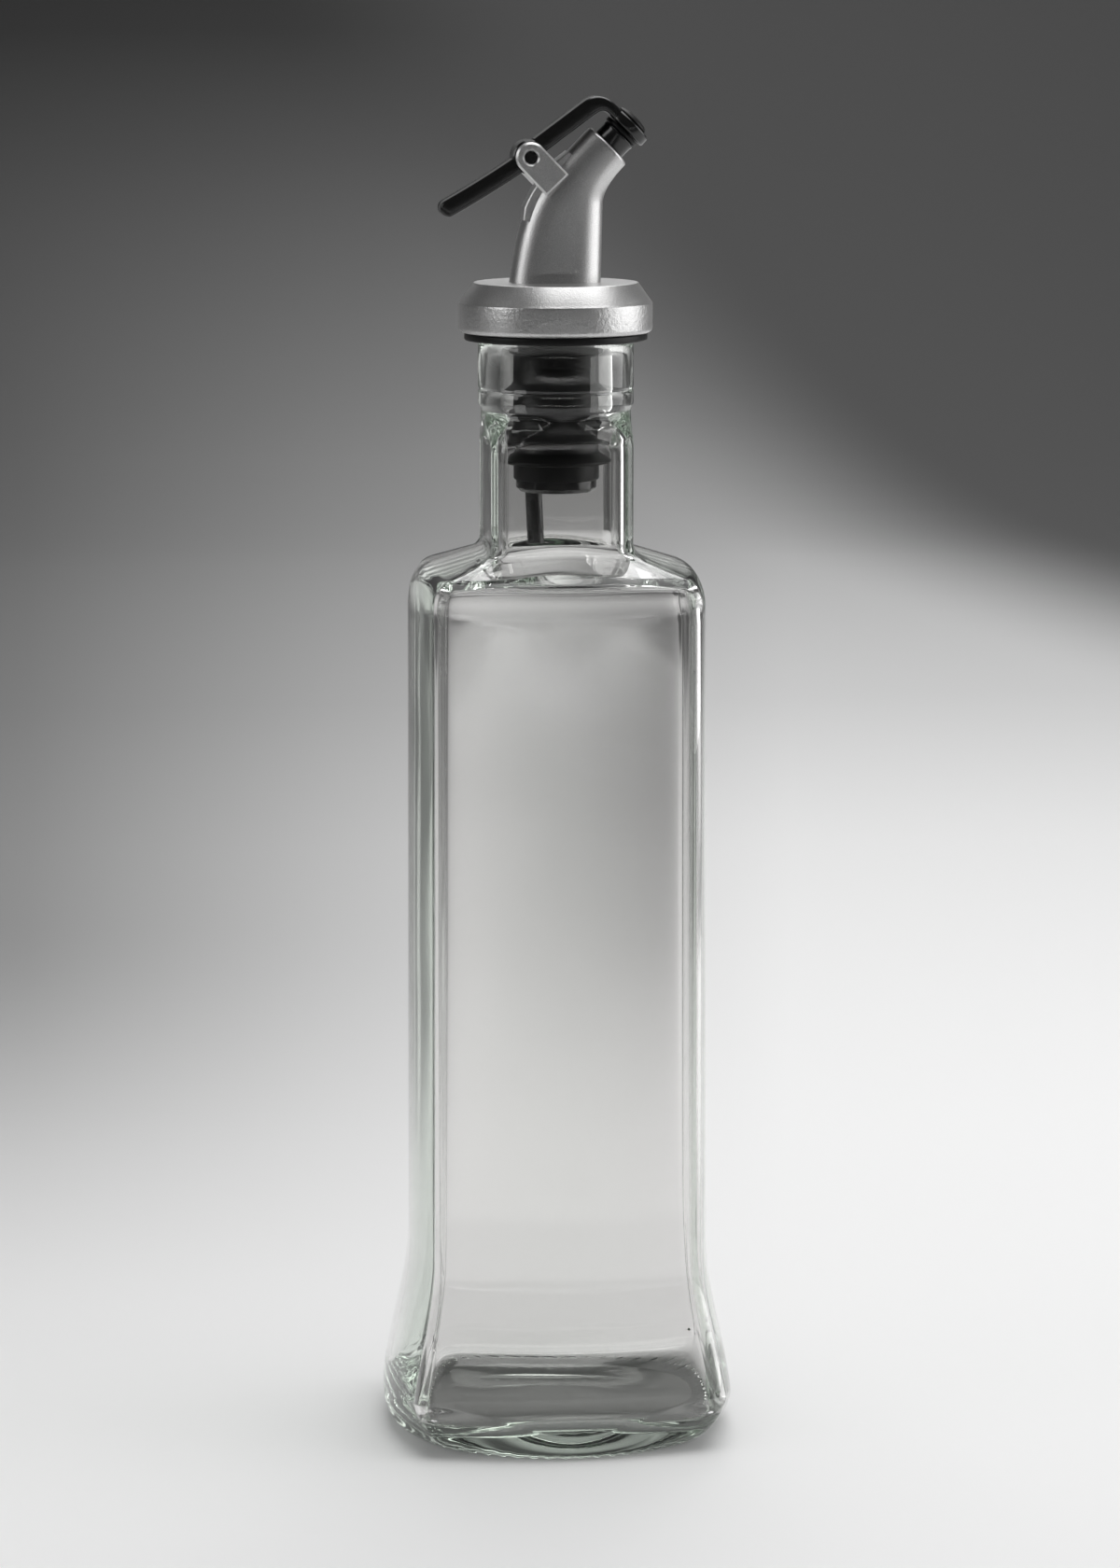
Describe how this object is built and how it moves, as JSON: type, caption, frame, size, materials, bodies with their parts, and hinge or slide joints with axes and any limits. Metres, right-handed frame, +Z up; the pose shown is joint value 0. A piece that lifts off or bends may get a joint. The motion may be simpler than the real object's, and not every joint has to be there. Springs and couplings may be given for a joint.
{
  "type": "vinegar cruet",
  "caption": "Square clear glass cruet with a flared foot, a finned rubber stopper and a silver pouring head whose sprung lever lifts a cap off the nozzle.",
  "frame": {"origin": "bottle's axis on the plane that it stands on", "axes": "+Z up along the bottle's axis, +X towards the spout, -X towards the lever's tail"},
  "size_m": [0.0698, 0.0698, 0.2714],
  "materials": {
    "clear_glass": "clear, faint green where it is thick",
    "black_rubber": "matte",
    "silver_paint": "satin silver with a fine grain",
    "black_plastic": "semi-gloss",
    "spring_steel": "bright drawn wire"
  },
  "bodies": {
    "bottle": {"glass_bottle": "clear_glass"},
    "stopper": {"rubber_stopper": "black_rubber"},
    "head": {"spout_shell": "silver_paint", "pour_core": "black_plastic", "vent_tube": "black_plastic", "hinge_pin": "black_plastic", "return_spring": "spring_steel"},
    "lever_body": {"lever": "black_plastic", "lever_seal": "black_rubber"}
  },
  "joints": [
    {"name": "stopper_pull", "type": "slide", "parent": "bottle", "child": "stopper", "axis": [0, 0, 1], "range_m": [0, 0.05]},
    {"name": "spout_turn", "type": "hinge", "parent": "stopper", "child": "head", "pos_m": [0, 0, 0.23442], "axis": [0, 0, 1], "continuous": true},
    {"name": "lever_hinge", "type": "hinge", "parent": "head", "child": "lever_body", "pos_m": [-0.0055, 0, 0.25942], "axis": [0, -1, 0], "range_deg": [0, 35], "stiffness_Nm_per_rad": 0.03, "springref_deg": -45.84, "deforming": ["return_spring"]}
  ]
}
